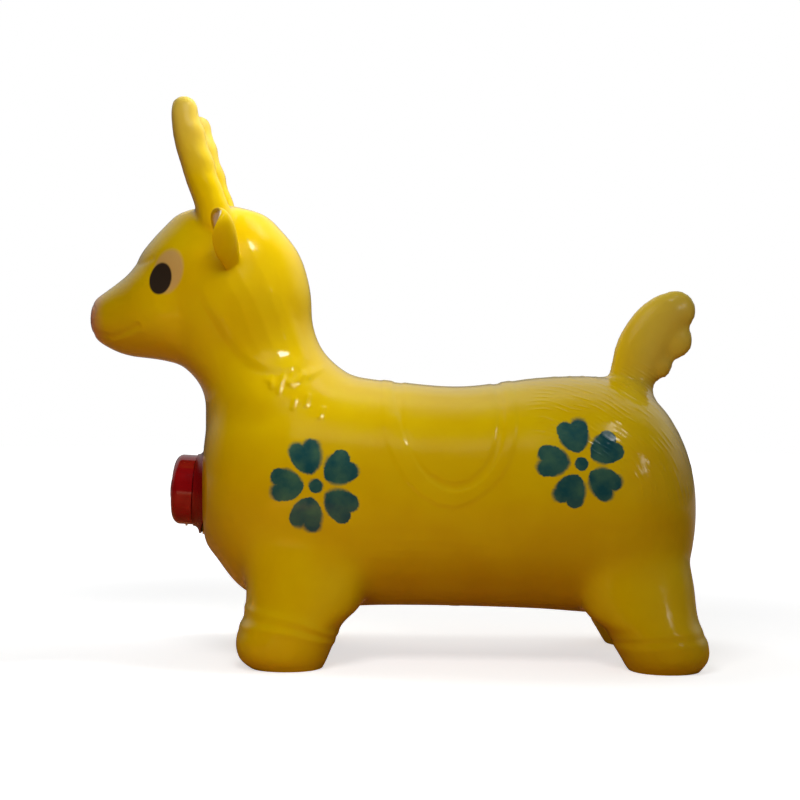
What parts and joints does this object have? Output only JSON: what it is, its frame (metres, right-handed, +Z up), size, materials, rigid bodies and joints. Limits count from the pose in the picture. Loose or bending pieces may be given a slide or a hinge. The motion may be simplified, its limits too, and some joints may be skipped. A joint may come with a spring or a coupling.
{
  "type": "inflatable goat toy",
  "caption": "Inflatable ride-on goat with two horns, a plume tail and four stub legs; a round music and light module plugs into its chest.",
  "frame": {"origin": "middle of the bounding box's footprint, at the soles", "axes": "+X towards the tail, -X towards the head, +Y to the goat's right, +Z up"},
  "size_m": [0.5733, 0.2365, 0.5164],
  "materials": {
    "skin": "glossy moulded soft PVC",
    "valve": "satin soft PVC",
    "foam": "closed cell foam",
    "red_plastic": "satin moulded ABS",
    "clear_red": "translucent moulded styrene",
    "white_plastic": "moulded ABS",
    "black_plastic": "moulded ABS",
    "steel": "zinc plated",
    "ferrite": "fired ferrite",
    "cone_paper": "pressed black paper",
    "board": "solder mask over glass laminate",
    "cell": "printed metal jacket",
    "lens": "clear epoxy"
  },
  "bodies": {
    "body": {"body_skin": "skin", "valve_insert": "valve"},
    "plug": {"air_plug": "valve"},
    "module": {"seal_ring": "foam", "module_housing": "red_plastic", "module_cover": "clear_red", "circuit_board": "board", "play_switch": "black_plastic", "motion_switch": "steel", "sound_chip": "black_plastic", "led_1": "lens", "led_2": "lens", "led_3": "lens", "led_4": "lens", "speaker_basket": "steel", "speaker_cone": "cone_paper", "speaker_magnet": "ferrite", "battery_upper": "cell", "battery_lower": "cell", "contact_bridge": "steel", "contact_plus": "steel", "contact_minus": "steel", "battery_door": "red_plastic", "door_screw": "steel", "cover_screw_1": "steel", "cover_screw_2": "steel", "cover_screw_3": "steel", "cover_screw_4": "steel", "board_screw_1": "steel", "board_screw_2": "steel", "power_switch": "black_plastic", "button_spring": "steel"},
    "button": {"play_button": "red_plastic"},
    "slider": {"power_slider": "white_plastic"}
  },
  "joints": [
    {"name": "module_pull", "type": "slide", "parent": "body", "child": "module", "axis": [-0.9986, 0, 0.0523], "range_m": [0, 0.06]},
    {"name": "button_press", "type": "slide", "parent": "module", "child": "button", "axis": [0.9986, 0, -0.0523], "range_m": [0, 0.002], "stiffness_N_per_m": 300, "deforming": ["button_spring"]},
    {"name": "switch_slide", "type": "slide", "parent": "module", "child": "slider", "axis": [0, 1, 0], "range_m": [0, 0.004]},
    {"name": "plug_pull", "type": "slide", "parent": "body", "child": "plug", "axis": [0, 0, -1], "range_m": [0, 0.03]}
  ]
}
